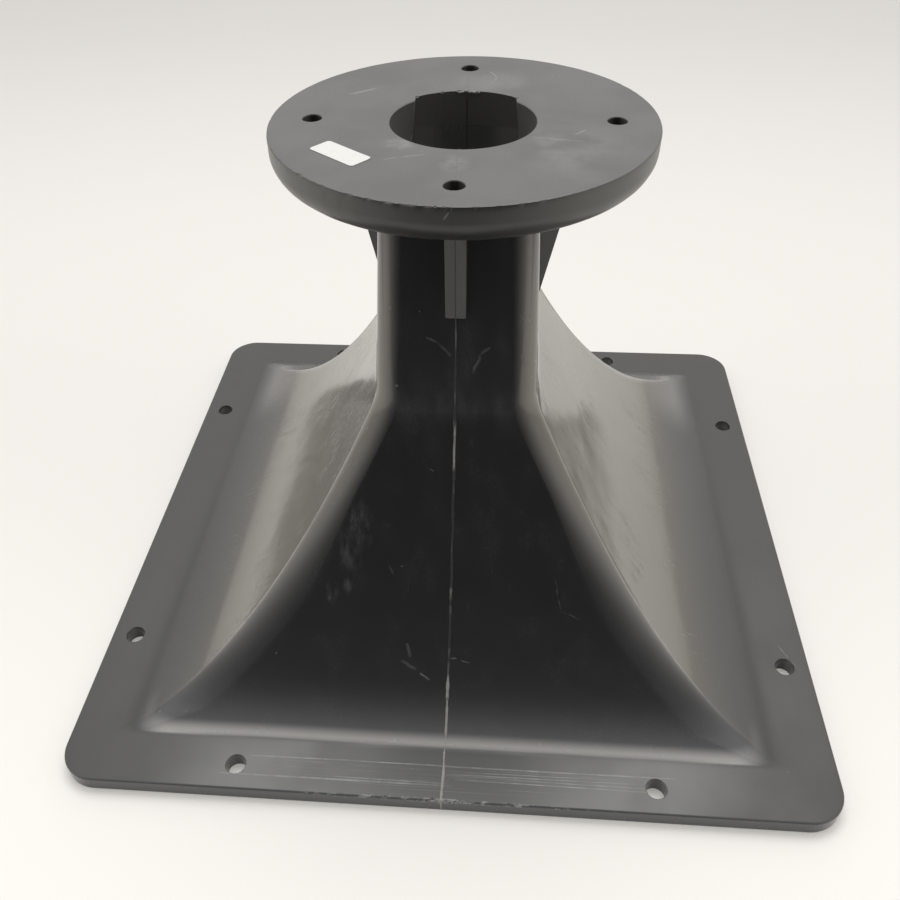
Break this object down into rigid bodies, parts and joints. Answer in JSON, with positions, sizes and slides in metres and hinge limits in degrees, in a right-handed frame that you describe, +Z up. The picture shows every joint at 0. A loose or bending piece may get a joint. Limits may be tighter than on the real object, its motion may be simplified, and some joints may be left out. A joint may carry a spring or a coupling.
{
  "type": "loudspeaker horn",
  "caption": "Moulded horn with a round driver flange, a slotted throat and a square flaring mouth flange, made as two bonded halves.",
  "frame": {"origin": "centre of the mouth flange's face, on the surface that the horn stands on", "axes": "+Z up through the throat to the driver flange; the parting plane is YZ; the slot of the throat is long along Y"},
  "size_m": [0.284, 0.284, 0.1928],
  "materials": {
    "moulded_shell": "worn satin black",
    "cured_adhesive": "cloudy",
    "label_paper": "matte"
  },
  "bodies": {
    "root": {"left_half_shell": "moulded_shell", "right_half_shell": "moulded_shell", "front_bond_seam": "cured_adhesive", "rear_bond_seam": "cured_adhesive", "paper_label": "label_paper"}
  },
  "joints": []
}
